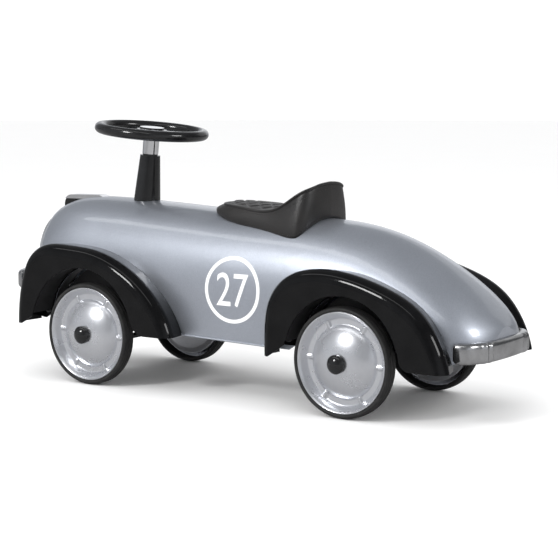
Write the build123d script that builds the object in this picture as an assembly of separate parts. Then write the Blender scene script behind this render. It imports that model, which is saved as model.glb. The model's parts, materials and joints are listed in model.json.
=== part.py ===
from build123d import *
import math
import os

# Ride-on push car for a small child: pressed steel body, four bolted-on fenders, padded saddle,
# steering wheel on a raked column, tie rod steering of the front wheels, four free wheels.
# Millimetres. +X is the nose, +Y the driver's left, +Z up. Origin on the ground at mid length.

# ---------------------------------------------------------------- driving dimensions
half_length = 380.0          # front and rear bumper faces to the origin
wheel_r = 70.0               # tyre outer radius
front_axle_x = 203.3
rear_axle_x = -208.2
axle_z = wheel_r
rim_face_y = 121.0           # outer face of the rolled rim lip
rim_r = 64.0
tyre_width = 20.0
axle_r = 5.0
axle_end_y = 132.0
cap_r = 12.0                 # black cap on each axle end
cap_dome_r = 15.0
running_gap = 0.05           # radial clearance of a running fit

body_half_width = 86.0
body_nose_x = 362.0
body_tail_x = -374.0
roof_high_z = 249.4          # top of the bonnet
roof_front_x = 240.0         # the nose rounds down ahead of this
roof_break_x = -150.0        # the tail falls behind this
roof_slope = 0.0418
nose_tip_z = 150.0
sheet = 1.5                  # painted sheet of body and fenders

fender_outer_y = 126.0
fender_crown_r = 15.0
front_arch_r = 91.0
front_arch_x = 209.5
rear_arch_r = 84.0
rear_arch_x = -210.0
arch_z = 71.0

caster = 5.67                # rake of the column and of both kingpins, degrees
column_foot_x = 209.6        # column axis at axle height
column_r = 8.0
wheel_centre_s = 276.2       # steering wheel centre, along the column from axle height
ring_r = 72.7
ring_tube_r = 7.2

kingpin_y = 84.0
kingpin_r = 3.0
arm_length = 32.0            # pitman arm and both steering arms
arm_thickness = 4.0
link_pin_r = 3.0

pan_z = 80.0                 # underside of the chassis pan
pan_thickness = 1.5
tray_depth = 4.0             # the pan's middle is pressed down by this
tray_back_x, tray_front_x = -100.0, 90.0
tray_half_width = 55.0
well_y = 62.0                # panels behind the wheels

bumper_height = 26.0
front_bumper_z = 132.0       # mid heights
rear_bumper_z = 89.0

os.makedirs("parts", exist_ok=True)


def save(name, shape):
    """Write one node; separate solids of a group are kept together as a compound."""
    solids = shape.solids()
    kept = solids[0] if len(solids) == 1 else Compound(children=list(solids))
    export_step(kept, f"parts/{name}.step")


def block(x0, x1, y0, y1, z0, z1):
    """Box between two corners."""
    centre = ((x0 + x1) / 2, (y0 + y1) / 2, (z0 + z1) / 2)
    return Pos(*centre) * Box(x1 - x0, y1 - y0, z1 - z0)


def rod(start, end, radius):
    """Round bar between two points."""
    axis = Vector(*end) - Vector(*start)
    plane = Plane(origin=start, z_dir=axis)
    return extrude(plane * Circle(radius), amount=axis.length)


def across(face, y_high, y_low):
    """A side view face, drawn in (x, z), as a solid between two distances from the centre plane."""
    return extrude(side_plane(y_high) * face, amount=y_high - y_low, dir=(0, -1, 0))


def upright(face, z_low, z_high):
    """A plan view face as a solid between two heights."""
    return extrude(Plane.XY.offset(z_low) * face, amount=z_high - z_low, dir=(0, 0, 1))


def both_sides(shape):
    return shape + mirror(shape, about=Plane.XZ)


def side_plane(y):
    """Drawing plane seen from the car's right: local x is +X, local y is +Z, normal is -Y."""
    return Plane(origin=(0, y, 0), x_dir=(1, 0, 0), z_dir=(0, -1, 0))


# ---------------------------------------------------------------- body surface
def superellipse(t, n):
    """Height of a unit superellipse at distance t from its centre."""
    return max(0.0, 1.0 - min(1.0, abs(t)) ** n) ** (1.0 / n)


def hem_z(x):
    """Height of the lower edge, nearly level between the wheels and lifted at the tail."""
    return 74.6 + 0.02 * x + 11.0 * (max(0.0, -x) / 374.0) ** 4


def plan_half_width(x):
    """Half width in plan: parallel sides, round nose, blunt round tail."""
    if x > 262.0:
        return body_half_width * superellipse((x - 262.0) / (body_nose_x - 262.0), 2.6)
    if x < -274.0:
        return body_half_width * superellipse((x + 274.0) / (body_tail_x + 274.0), 3.0)
    return body_half_width


def roof_z(x):
    """Height of the centre line: domed nose, straight gently falling top, long falling tail."""
    if x > roof_front_x:
        reach = (x - roof_front_x) / (body_nose_x - roof_front_x)
        return nose_tip_z + (roof_high_z - nose_tip_z) * superellipse(reach, 3.2)
    if x > roof_break_x:
        return roof_high_z - roof_slope * (roof_front_x - x)
    fall = (x - roof_break_x) / (body_tail_x - roof_break_x)
    return roof_high_z - roof_slope * (roof_front_x - roof_break_x) - 9.1 * fall \
        - 100.5 * fall ** 2 - 10.4 * fall ** 12


def roundness(x):
    """Exponent of the section: squarer over the bonnet, a true half ellipse at the tail."""
    return 0.87 + 0.15 * min(1.0, max(0.0, (-40.0 - x) / 200.0))


def body_section(x):
    """Half outline of the body at station x, as (y, z) from below the hem to the centre line."""
    width = plan_half_width(x)
    low = hem_z(x)
    top = roof_z(x)
    waist = low + 0.38 * (top - low)
    points = [(width * 0.975, 40.0), (width * 0.995, (low + waist) / 2), (width, waist)]
    steps = 5
    for i in range(1, steps + 1):
        angle = math.pi / 2 * i / steps
        across_part = math.cos(angle) if i < steps else 0.0
        points.append((width * across_part ** roundness(x),
                       waist + (top - waist) * math.sin(angle) ** roundness(x)))
    return points


def body_loft():
    """Solid inside the body's outline, before its lower edge is cut."""
    stations = [body_tail_x + 1.0, -370, -360, -345, -320, -285, -240, -170, -60, 80, 230,
                275, 310, 335, 350, 358.5, body_nose_x - 0.8]
    faces = []
    for x in stations:
        half = body_section(x)
        left = [Vector(x, y, z) for y, z in half]
        right = [Vector(x, -y, z) for y, z in reversed(half[:-1])]
        arch = Spline(*(left + right), tangents=((0, 0.02, 1), (0, 0.02, -1)))
        faces.append(Face(Wire([arch, Line(right[-1], left[0])])))
    return loft(faces)


body_outer = body_loft()
half_height = 172.0          # centre line above the hem
scale_z = 75.0               # level that stays put when the body's solid is grown


def body_solid(grow):
    """The body's solid with its skin moved out by grow."""
    factors = (1 + grow / body_nose_x, 1 + grow / body_half_width, 1 + grow / half_height)
    return Pos(0, 0, scale_z) * scale(Pos(0, 0, -scale_z) * body_outer, by=factors)


body_inner = body_solid(-sheet)
liner_outer = body_solid(sheet)


def arch_end(upper, middle, lower, back_x):
    """Piece cut below the arch's end, where its lip curves out into the bottom edge."""
    edge = ThreePointArc(upper, middle, lower)
    return make_face([edge, Polyline(lower, (lower[0], 40), (back_x, 40), upper)])


front_opening = (Pos(front_arch_x, arch_z) * Circle(front_arch_r)
                 + arch_end((122, 95), (115.5, 83), (100, 76), 140)
                 + arch_end((299, 88), (306, 83.5), (321, 75), 280))
rear_opening = (Pos(rear_arch_x, arch_z) * Circle(rear_arch_r)
                + arch_end((-293, 82), (-297, 74), (-308, 69), -270)
                + arch_end((-127, 86), (-116, 78), (-101, 68.5), -140))


def arch_cut(y0, y1):
    """The four wheel openings, cut sideways between |y| = y0 and y1."""
    cut = None
    for opening in (front_opening, rear_opening):
        hole = across(opening, y1, y0)
        cut = hole if cut is None else cut + hole
    return both_sides(cut)


raked_x = Vector(math.cos(math.radians(caster)), 0, math.sin(math.radians(caster)))
raked_z = Vector(-math.sin(math.radians(caster)), 0, math.cos(math.radians(caster)))


def raked(x, y):
    """Plane square to the column and kingpins, through a point at axle height."""
    return Plane(origin=(x, y, axle_z), x_dir=raked_x, z_dir=raked_z)


column = raked(column_foot_x, 0)


def on_column(s0, s1, r0, r1=None):
    """Cylinder or cone about the column axis between two heights along it."""
    if r1 is None:
        return extrude(column.offset(s0) * Circle(r0), amount=s1 - s0)
    return loft([column.offset(s0) * Circle(r0), column.offset(s1) * Circle(r1)])


# ---------------------------------------------------------------- screws, shared positions
screw_r = 2.0
screw_head_r = 3.6
fender_screws_xz = ((305.0, 91.0), (114.0, 97.0), (-110.0, 87.0), (-300.0, 92.0))


def side_screw(x, z, r0, r1, y0, y1):
    """Shank and flat head of a screw across the car, head outwards."""
    shank = across(Pos(x, z) * Circle(r0), y1, y0)
    head = across(Pos(x, z) * Circle(r1), y1 + 2.2, y1)
    return shank + head


fender_screws = None
screw_holes = None
for x, z in fender_screws_xz:
    y = plan_half_width(x) * 0.995 + sheet + 0.1
    screw = side_screw(x, z, screw_r, screw_head_r, y - 9.0, y)
    hole = across(Pos(x, z) * Circle(screw_r), y + 3, y - 9)
    fender_screws = screw if fender_screws is None else fender_screws + screw
    screw_holes = hole if screw_holes is None else screw_holes + hole
fender_screws = both_sides(fender_screws)
screw_holes = both_sides(screw_holes)

# ---------------------------------------------------------------- body shell
hem_line = Spline(*[(x, hem_z(x)) for x in (420, 200, 0, -150, -300, -400)])
below_hem = across(make_face([hem_line, Polyline(hem_line @ 1, (-400, 20), (420, 20), hem_line @ 0)]),
                   150, -150)

grille_z = 158.0
grille_half_width = 50.0
grille_half_height = 64.0
grille_frame_width = 7.0


def grille_prism(inset):
    """Upright oval seen from the front, drawn through the nose."""
    front = Plane(origin=(300, 0, grille_z), x_dir=(0, 1, 0), z_dir=(1, 0, 0))
    oval = Ellipse(grille_half_width - inset, grille_half_height - inset)
    return extrude(front * oval, amount=120)


column_hole_r = 13.0
body_shell = body_outer - body_inner - below_hem
body_shell = body_shell - arch_cut(40, 140)
body_shell = body_shell - on_column(120, 220, column_hole_r)
body_shell = body_shell - grille_prism(grille_frame_width - 1)
body_shell = body_shell - screw_holes

# ---------------------------------------------------------------- grille
nose_frame_skin = body_solid(3.0) - body_outer
grille_frame = nose_frame_skin & (grille_prism(0) - grille_prism(grille_frame_width))
nose_bar_skin = body_solid(1.5) - body_solid(-1.0)
bar_pitch = 10.0
bar_height = 4.5
bars = None
for i in range(-5, 6):
    z = grille_z + i * bar_pitch
    slab = block(280, 400, -80, 80, z - bar_height / 2, z + bar_height / 2)
    bars = slab if bars is None else bars + slab
spine = block(280, 400, -2.5, 2.5, grille_z - 70, grille_z + 70)
grille_bars = nose_bar_skin & grille_prism(grille_frame_width) & (bars + spine)

# ---------------------------------------------------------------- bonnet crest
crest_half_width = 8.0
crest_side = make_face([
    Polyline((270, 236), (266, 248.5), (274, 251.2)),
    Line((274, 251.2), (328, 250)),
    ThreePointArc((328, 250), (337, 246.3), (342, 234)),
    Line((342, 234), (339, 215)),
    Line((339, 215), (270, 236)),
])
crest_block = across(crest_side, crest_half_width, -crest_half_width)
pad_block = across(crest_side, crest_half_width - 2, 2 - crest_half_width)
crest_line = across(Polygon((250, 245.5), (350, 244), (350, 200), (250, 200), align=None), 20, -20)
hood_crest = crest_block - body_outer - crest_line
crest_pad = (pad_block & crest_line) - body_outer

# ---------------------------------------------------------------- fenders
fender_seam_y = 70.0         # level of the inner outlines; the top rises from there to the outer ones
front_outer = [(334, 76), (331.5, 112), (323.5, 146), (312, 171), (290, 187.5), (245, 191), (194, 187.5),
               (146, 172), (101, 143), (71, 108), (57, 76)]
front_inner = [(330, 76), (326, 112), (318, 144), (306, 166), (286, 182), (244, 187), (197, 181),
               (153, 165), (113, 139), (84, 107), (68, 76)]
rear_outer = [(-90, 69), (-90, 110), (-98, 147), (-119, 172), (-156, 184.5), (-203, 185), (-262, 172),
              (-320, 143), (-348, 105), (-360, 69)]
rear_inner = [(-94, 69), (-95, 108), (-105, 141), (-125, 163), (-156, 177), (-196, 178), (-252, 163),
              (-301, 136), (-328, 102), (-341, 69)]


def moved_in(points, inset):
    """Points of an open outline, drawn anticlockwise, each moved inside by inset."""
    moved = []
    for i, (x, z) in enumerate(points):
        before = points[max(0, i - 1)]
        after = points[min(len(points) - 1, i + 1)]
        along = Vector(after[0] - before[0], after[1] - before[1]).normalized()
        moved.append((x - along.Y * inset, z + along.X * inset))
    return moved


def fender_face(points, inset):
    """Side outline of a fender; the inset one runs on below so that its mouth stays open."""
    line = moved_in(points, inset)
    first, last = line[0], line[-1]
    drop = 8.0 if inset else 0.0
    foot = Polyline(last, (last[0], last[1] - drop), (first[0], first[1] - drop), first) \
        if inset else Line(last, first)
    return make_face([Spline(*line), foot])


def fender_pod(inner, outer, inset):
    """Fender volume from inside the body to its outer face, with the crown rounded over."""
    outer_y = fender_outer_y - inset
    faces = [side_plane(fender_seam_y) * fender_face(inner, inset),
             side_plane(outer_y) * fender_face(outer, inset)]
    pod = loft(faces, ruled=True)
    pod = pod + across(fender_face(inner, inset), fender_seam_y, 40)
    rim = pod.edges().filter_by_position(Axis.Y, outer_y - 0.1, outer_y + 0.1).sort_by(SortBy.LENGTH)
    return fillet(rim[-1], fender_crown_r - inset)


def fender(inner, outer):
    pod = fender_pod(inner, outer, 0)
    hollow = fender_pod(inner, outer, sheet) - liner_outer
    shell = pod - hollow - body_outer
    liner_floor = block(-400, 400, 60, 100, 0, 79.0)
    return (shell - arch_cut(60, 140) - screw_holes) - (liner_floor & liner_outer)


front_fender = fender(front_inner, front_outer)
rear_fender = fender(rear_inner, rear_outer)

# ---------------------------------------------------------------- bumpers
bumper_depth = 12.0
bumper_sheet = 1.6
bumper_end_r = 9.0
rib_y = 51.0
rib_width = 10.0
rib_proud = 1.5


def bumper_band(sign, middle, tip, inset):
    """Plan of the space behind a bumper's face, moved back by inset."""
    face = sign * (half_length - inset)
    mid = (sign * (middle[0] - inset), middle[1])
    end = (sign * (tip[0] - 0.6 * inset), tip[1] - 0.8 * inset)
    left = Spline((face, 0), mid, end, tangents=((0, 1), (-sign, 1)))
    right = mirror(left, about=Plane.XZ)
    deep = sign * (tip[0] - 30)
    back = Polyline(end, (deep, end[1]), (deep, -end[1]), (end[0], -end[1]))
    return make_face([left, right, back])


def end_plan(sign):
    """Plan of the body's nose or tail, a little larger than its sheet."""
    tip_x = body_nose_x if sign > 0 else -body_tail_x
    xs = [tip_x - d for d in (0.4, 2.5, 8, 20, 45, 90)]
    side = [(sign * (x + 0.4), plan_half_width(sign * x) + 0.4) for x in xs]
    curve = Spline(*(list(reversed(side)) + [(x, -y) for x, y in side]))
    return make_face([curve, Line(curve @ 1, curve @ 0)])


def bumper(sign, z, middle, tip):
    """Channel pressed along a curve, with two raised ribs on its face."""
    low, high = z - bumper_height / 2, z + bumper_height / 2
    outer = upright(bumper_band(sign, middle, tip, 0), low, high)
    hollow = upright(bumper_band(sign, middle, tip, bumper_depth), low - 1, high + 1)
    channel = upright(bumper_band(sign, middle, tip, bumper_sheet), low + bumper_sheet,
                      high - bumper_sheet)
    proud = upright(bumper_band(sign, middle, tip, -rib_proud), low + 0.5, high - 0.5)
    near, far = sorted((sign * (half_length - 30), sign * (half_length + 20)))
    rib = block(near, far, rib_y - rib_width / 2, rib_y + rib_width / 2, low, high)
    solid = outer + (proud & both_sides(rib))
    ends = Plane(origin=(sign * 300, 0, z), x_dir=(0, sign, 0), z_dir=(sign, 0, 0))
    solid = solid & extrude(ends * RectangleRounded(2 * tip[1] + 0.4, bumper_height, bumper_end_r),
                            amount=120)
    return solid - hollow - channel - upright(end_plan(sign), low - 2, high + 2)


rear_middle, rear_tip = (375.5, 51.0), (338.0, 86.0)
front_middle, front_tip = (372.5, 73.0), (350.0, 97.0)
rear_bumper = bumper(-1, rear_bumper_z, rear_middle, rear_tip)
front_bumper = bumper(1, front_bumper_z, front_middle, front_tip) - both_sides(front_fender)
fender_screws = fender_screws - both_sides(front_fender)
rear_fender = rear_fender - upright(bumper_band(-1, rear_middle, rear_tip, -2.0), 60, 110)
bracket_half = 6.0
front_bracket = block(352, half_length - 4.0, 24, 36, front_bumper_z - bracket_half,
                      front_bumper_z + bracket_half)
bumper_brackets = both_sides(front_bracket) - upright(end_plan(1), 100, 160) - front_bumper
bumper_brackets = bumper_brackets - grille_bars - grille_frame

# ---------------------------------------------------------------- column, sleeve and bushes
sleeve_foot_s = 168.0
sleeve_top_s = 242.0
sleeve_foot_r = 19.4
sleeve_top_r = 14.0
sleeve_wall = 2.0
stub_r = 11.2

column_sleeve = on_column(sleeve_foot_s, sleeve_top_s, sleeve_foot_r, sleeve_top_r)
column_sleeve = column_sleeve - on_column(sleeve_foot_s, sleeve_top_s - 4,
                                          sleeve_foot_r - sleeve_wall, sleeve_top_r - sleeve_wall)
bush_bore = column_r + running_gap
upper_bush_r = 10.5
column_sleeve = column_sleeve - on_column(200, 260, upper_bush_r)
column_sleeve = column_sleeve - body_outer
upper_bush = on_column(sleeve_top_s - 14, sleeve_top_s + 1.5, upper_bush_r)
upper_bush = upper_bush - on_column(200, 260, bush_bore)
upper_bush = upper_bush & on_column(150, 260, 40)

steering_column = on_column(-12.0, wheel_centre_s - 2.0, column_r)
steering_column = steering_column - on_column(-13.0, wheel_centre_s, column_r - 1.6)
column_collar = on_column(sleeve_top_s + 2.0, wheel_centre_s - 9.0, stub_r) - on_column(200, 300, column_r)

# ---------------------------------------------------------------- steering wheel
hub_r = 21.0
spoke_count = 4
spoke_width = 15.0
spoke_thickness = 3.0
wheel_plane = column.offset(wheel_centre_s)
steering_rim = wheel_plane * Torus(ring_r, ring_tube_r)
hub = on_column(wheel_centre_s - 9.0, wheel_centre_s + 2.0, hub_r)
hub = hub - on_column(wheel_centre_s - 10.0, wheel_centre_s - 2.0, column_r)
spokes = hub
for i in range(spoke_count):
    turn = Rot(0, 0, 45 + i * 360 / spoke_count)
    reach = ring_r
    bar = turn * Pos(reach / 2, 0, -1.0) * Box(reach, spoke_width, spoke_thickness)
    spokes = spokes + wheel_plane * bar
spokes = spokes - on_column(wheel_centre_s - 10.0, wheel_centre_s - 2.0, column_r)
steering_spokes = spokes - steering_rim
hub_cap = on_column(wheel_centre_s + 2.0, wheel_centre_s + 5.0, 17.0)

# ---------------------------------------------------------------- front axle, knuckles, tie rod
beam_half_width = 9.0
beam_half_height = 6.0
yoke_gap = 0.4
yoke_wall = 4.0
boss_r = 16.0
lower_bush_r = 11.0
axle_plane = raked(front_axle_x, 0)
column_shift = (column_foot_x - front_axle_x) * math.cos(math.radians(caster))


def on_beam(x0, x1, y0, y1, z0, z1):
    """Block in the raked frame of the front axle, its x measured from the axle line."""
    return axle_plane * block(x0, x1, y0, y1, z0, z1)


def on_pin(side, z0, z1, radius, x=0.0):
    """Cylinder parallel to a kingpin, x behind or ahead of it."""
    plane = Plane(axle_plane.from_local_coords((x, side * kingpin_y, z0)), x_dir=raked_x, z_dir=raked_z)
    return extrude(plane * Circle(radius), amount=z1 - z0)


beam = on_beam(-beam_half_width, beam_half_width, -kingpin_y, kingpin_y,
               -beam_half_height, beam_half_height)
for side in (-1, 1):
    beam = beam + on_pin(side, -beam_half_height, beam_half_height, 7.0)
    beam = beam - on_beam(-20, -6.0, side * kingpin_y - 12, side * kingpin_y + 12, -10, 10)
    beam = beam - on_beam(6.0, 20, side * kingpin_y - 12, side * kingpin_y + 12, -10, 10)
beam = beam + on_column(-beam_half_height, beam_half_height, boss_r)
beam = beam - on_column(-20, 20, lower_bush_r)
for side in (-1, 1):
    beam = beam - on_pin(side, -20, 20, kingpin_r)
lower_bush = on_column(-beam_half_height, beam_half_height, lower_bush_r) - on_column(-20, 20, bush_bore)

link_low = -beam_half_height - yoke_gap - yoke_wall
link_high = link_low + arm_thickness
tie_low = link_high + 0.4
tie_high = tie_low + 4.0


def knuckle(side):
    """Yoke about the beam's end with its steering arm and stub axle."""
    y_in = side * (kingpin_y - 8.0)
    y_out = side * (kingpin_y + 13.0)
    web = side * (kingpin_y + 8.5)
    upper = beam_half_height + yoke_gap
    y0, y1 = sorted((y_in, y_out))
    w0, w1 = sorted((web, y_out))
    shape = on_beam(-8, 8, y0, y1, upper, upper + yoke_wall)
    shape = shape + on_beam(-8, 8, y0, y1, link_low, link_high)
    shape = shape + on_beam(-8, 8, w0, w1, link_low, upper + yoke_wall)
    k0, k1 = side * kingpin_y - 6.0, side * kingpin_y + 6.0
    shape = shape + on_beam(-arm_length, 0, k0, k1, link_low, link_high)
    shape = shape + on_pin(side, link_low, link_high, 6.0, -arm_length)
    shape = shape + on_pin(side, link_low, tie_high + 2.0, link_pin_r, -arm_length)
    shape = shape - on_pin(side, -20, 20, kingpin_r + running_gap)
    stub_from = side * (kingpin_y + 9.0)
    stub = rod((front_axle_x, stub_from, axle_z), (front_axle_x, side * axle_end_y, axle_z), axle_r)
    collar = rod((front_axle_x, stub_from, axle_z), (front_axle_x, side * 99.0, axle_z), 8.0)
    return shape + stub + collar


def kingpin(side):
    top = beam_half_height + yoke_gap + yoke_wall
    shank = on_pin(side, link_low - 1.5, top + 1.0, kingpin_r)
    return shank + on_pin(side, top + 0.3, top + 3.0, 5.5)


knuckle_left = knuckle(1)
knuckle_right = knuckle(-1)
tie_bar = on_beam(-arm_length - 6, -arm_length + 6, -kingpin_y, kingpin_y, tie_low, tie_high)
for side in (-1, 1):
    tie_bar = tie_bar + on_pin(side, tie_low, tie_high, 6.0, -arm_length)
lug_x = column_shift - arm_length
lug = axle_plane * Pos(lug_x, 0, tie_low) * extrude(Circle(7.0), amount=tie_high - tie_low)
tie_bar = tie_bar + lug
for side in (-1, 1):
    tie_bar = tie_bar - on_pin(side, -20, 20, link_pin_r + running_gap, -arm_length)
pin_hole = axle_plane * Pos(lug_x, 0, -20) * extrude(Circle(link_pin_r + running_gap), amount=40)
tie_rod = tie_bar - pin_hole

pitman_plane = column.offset(link_low)
pitman = pitman_plane * extrude(Pos(-arm_length / 2, 0) * Rectangle(arm_length, 12), amount=arm_thickness)
pitman = pitman + on_column(link_low, link_high, 13.0)
pitman = pitman + pitman_plane * Pos(-arm_length, 0, 0) * extrude(Circle(6.0), amount=arm_thickness)
pin_length = tie_high + 2.0 - link_low
pitman = pitman + pitman_plane * Pos(-arm_length, 0, 0) * extrude(Circle(link_pin_r), amount=pin_length)
pitman_arm = pitman - on_column(-20, 20, column_r)

# ---------------------------------------------------------------- chassis pan and rear axle
pan_sheet = block(-330, 300, -100, 100, pan_z, pan_z + pan_thickness) & body_inner
tray_floor = pan_z - tray_depth
pan_sheet = pan_sheet + block(tray_back_x, tray_front_x, -tray_half_width, tray_half_width,
                              tray_floor, pan_z)
pan_sheet = pan_sheet - block(tray_back_x + pan_thickness, tray_front_x - pan_thickness,
                              pan_thickness - tray_half_width, tray_half_width - pan_thickness,
                              tray_floor + pan_thickness, pan_z + pan_thickness)
pan_sheet = pan_sheet - arch_cut(70, 140)
pan_sheet = pan_sheet - on_column(0, 30, 18.0)
bracket_y = 60.0
bracket_thickness = 3.0
spacer_y = 45.0
bolt_r = 3.0
spacer = both_sides(block(front_axle_x - 8, front_axle_x + 8, spacer_y - 9, spacer_y + 9, 68, pan_z))
spacer = spacer - on_beam(-40, 40, -90, 90, -20, beam_half_height)
beam_bolt = rod((front_axle_x, spacer_y, 62), (front_axle_x, spacer_y, pan_z + pan_thickness + 6), bolt_r)
bolt_head = rod((front_axle_x, spacer_y, 59), (front_axle_x, spacer_y, 62.0), 5.5)
bolt_nut = rod((front_axle_x, spacer_y, pan_z + pan_thickness),
               (front_axle_x, spacer_y, pan_z + pan_thickness + 4), 5.0)
bolt_holes = both_sides(rod((front_axle_x, spacer_y, 40), (front_axle_x, spacer_y, 100), bolt_r))
front_axle_beam = beam - bolt_holes
beam_bolts = both_sides(beam_bolt + bolt_head + bolt_nut) - (beam - bolt_holes)
beam_spacers = spacer - bolt_holes
rear_axle = rod((rear_axle_x, -axle_end_y, axle_z), (rear_axle_x, axle_end_y, axle_z), axle_r)
bracket = block(rear_axle_x - 16, rear_axle_x + 16, bracket_y, bracket_y + bracket_thickness,
                axle_z - 9, pan_z)
foot = block(rear_axle_x - 16, rear_axle_x + 16, bracket_y - 18, bracket_y + bracket_thickness,
             pan_z - bracket_thickness, pan_z)
bracket = both_sides(bracket + foot) - rod((rear_axle_x, -99, axle_z), (rear_axle_x, 99, axle_z), axle_r)
spacer_tube = both_sides(rod((rear_axle_x, bracket_y + bracket_thickness, axle_z),
                             (rear_axle_x, 99, axle_z), 8.0))
rear_spacers = spacer_tube - rear_axle
chassis_pan = pan_sheet - bolt_holes


def well_panel(x, radius):
    """Upright panel that stands on the pan and closes a wheel arch off from the body's inside."""
    disc = across(Pos(x, arch_z) * Circle(radius - 2.0), well_y + sheet, well_y)
    return disc - block(-400, 400, 0, 100, -100, pan_z + pan_thickness)


wheel_wells = both_sides(well_panel(front_arch_x, front_arch_r) + well_panel(rear_arch_x, rear_arch_r))

# ---------------------------------------------------------------- wheels
disc_sheet = 1.2
bush_r = 9.0
bush_bore_r = axle_r + running_gap
hub_in_y = 99.3
hub_out_y = 128.4


def turned(points, x):
    """Revolve a closed (radius, y) outline about an axle."""
    plane = Plane(origin=(x, 0, axle_z), x_dir=(1, 0, 0), z_dir=(0, 0, 1))
    return revolve(plane * make_face(Polyline(*points, close=True)), Axis((x, 0, axle_z), (0, 1, 0)))


tyre_in_y = rim_face_y + 1.0 - tyre_width
seat_r = 58.0


def tyre(x):
    y0, y1 = tyre_in_y, rim_face_y + 1.0
    plane = Plane(origin=(x, 0, axle_z), x_dir=(1, 0, 0), z_dir=(0, 0, 1))
    ring = make_face([
        Line((seat_r, y0 + 4), (seat_r, y1 - 4)),
        Line((seat_r, y1 - 4), (rim_r, y1 - 1.5)),
        ThreePointArc((rim_r, y1 - 1.5), (67.6, y1 - 0.6), (69.2, y1 - 3.5)),
        ThreePointArc((69.2, y1 - 3.5), (wheel_r, (y0 + y1) / 2), (69.2, y0 + 3.5)),
        ThreePointArc((69.2, y0 + 3.5), (67.6, y0 + 0.6), (rim_r, y0 + 1.5)),
        Line((rim_r, y0 + 1.5), (seat_r, y0 + 4)),
    ])
    return revolve(plane * ring, Axis((x, 0, axle_z), (0, 1, 0)))


face_y = rim_face_y
outer_profile = [
    (bush_r, 127.4), (14.0, 127.0), (26.0, 124.0), (38.0, 118.5), (45.5, 112.5), (46.5, 110.0),
    (54.0, 110.0), (55.0, 113.0), (57.0, face_y - 1.5), (60.5, face_y), (63.2, face_y - 0.4),
    (rim_r - 0.05, face_y - 2.0),
]


def thick_profile(points, step):
    """Close a pressed profile with its other face, step further along the axle."""
    return list(points) + [(r, y + step) for r, y in reversed(points)]


def disc_outer(x):
    return turned(thick_profile(outer_profile, -disc_sheet), x) - tyre(x)


inner_profile = [(bush_r, 103.4), (20.0, 103.4), (50.0, 106.0), (57.0, 108.5),
                 (57.9, 108.5)]


def disc_inner(x):
    return turned(thick_profile(inner_profile, disc_sheet), x)


def hub_bush(x):
    return turned([(bush_bore_r, hub_in_y), (bush_r, hub_in_y), (bush_r, hub_out_y),
                   (bush_bore_r, hub_out_y)], x)


def axle_cap(x):
    """Domed cap pushed on the axle's end."""
    y0 = hub_out_y + 0.4
    skirt = 4.0
    centre = y0 + skirt - math.sqrt(cap_dome_r ** 2 - cap_r ** 2)
    body = rod((x, y0, axle_z), (x, centre + cap_dome_r, axle_z), cap_r)
    dome = body & (Pos(x, centre, axle_z) * Sphere(cap_dome_r))
    return dome - rod((x, y0 - 1, axle_z), (x, axle_end_y, axle_z), axle_r)


# ---------------------------------------------------------------- saddle
seat_side = make_face([
    Spline((62, 232), (59, 243), (46, 249.5), (15, 252.5), (-28, 252), (-57, 250.5), (-75, 256.5),
           (-88, 266), (-100, 277), (-109, 283), (-116, 279), (-118, 266)),
    Polyline((-118, 266), (-118, 190), (62, 190), (62, 232)),
])
skirt_line = make_face([
    Spline((80, 238), (52, 236), (20, 228), (-26, 222), (-60, 217), (-92, 211.5), (-104, 214),
           (-111, 226), (-119, 235), (-150, 238)),
    Polyline((-150, 238), (-150, 300), (80, 300), (80, 238)),
])
plan_side = [(52, 23), (20, 41), (-26, 50.5), (-60, 56), (-90, 61), (-104, 57), (-111, 43), (-115.5, 20)]
plan_other_side = [(x, -y) for x, y in reversed(plan_side)]
seat_plan = make_face(Spline((62, 0), *plan_side, (-117, 0), *plan_other_side, periodic=True))
seat_end = Plane(origin=(-200, 0, 0), x_dir=(0, 1, 0), z_dir=(1, 0, 0))
flank = Spline((72, 195), (65, 212), (55, 230), (48.5, 250), (47, 269))
corner = ThreePointArc((47, 269), (43, 279.5), (33, 284))
flare_edges = [flank, corner, Line((33, 284), (-33, 284)), Line((72, 195), (-72, 195))]
flare_edges = flare_edges + [mirror(flank, about=Plane.YZ), mirror(corner, about=Plane.YZ)]
flare = extrude(seat_end * make_face(flare_edges), amount=300)
seat_block = across(seat_side, 80, -80) & upright(seat_plan, 190, 300) & across(skirt_line, 80, -80)
seat_block = seat_block & flare
seat_core = body_solid(4.0)
seat_shim = body_solid(0.4)
base_plan = Pos(-36, 0) * scale(Pos(36, 0) * seat_plan, by=(0.9, 0.7, 1))
seat_base = (upright(base_plan, 190, 300) & across(skirt_line, 80, -80) & seat_core) - seat_shim
seat_bolt_x = (30.0, -80.0)
seat_bolts = None
for x in seat_bolt_x:
    z = roof_z(x)
    bolt = rod((x, 0, z - 12), (x, 0, z + 3.0), bolt_r) + rod((x, 0, z - 8), (x, 0, z - 3.0), 6.0)
    hole = rod((x, 0, z - 12), (x, 0, z + 3.0), bolt_r)
    seat_bolts = bolt if seat_bolts is None else seat_bolts + bolt
    body_shell = body_shell - hole
    seat_base = seat_base - hole
seat_cushion = seat_block - seat_shim - seat_base - seat_bolts

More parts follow.
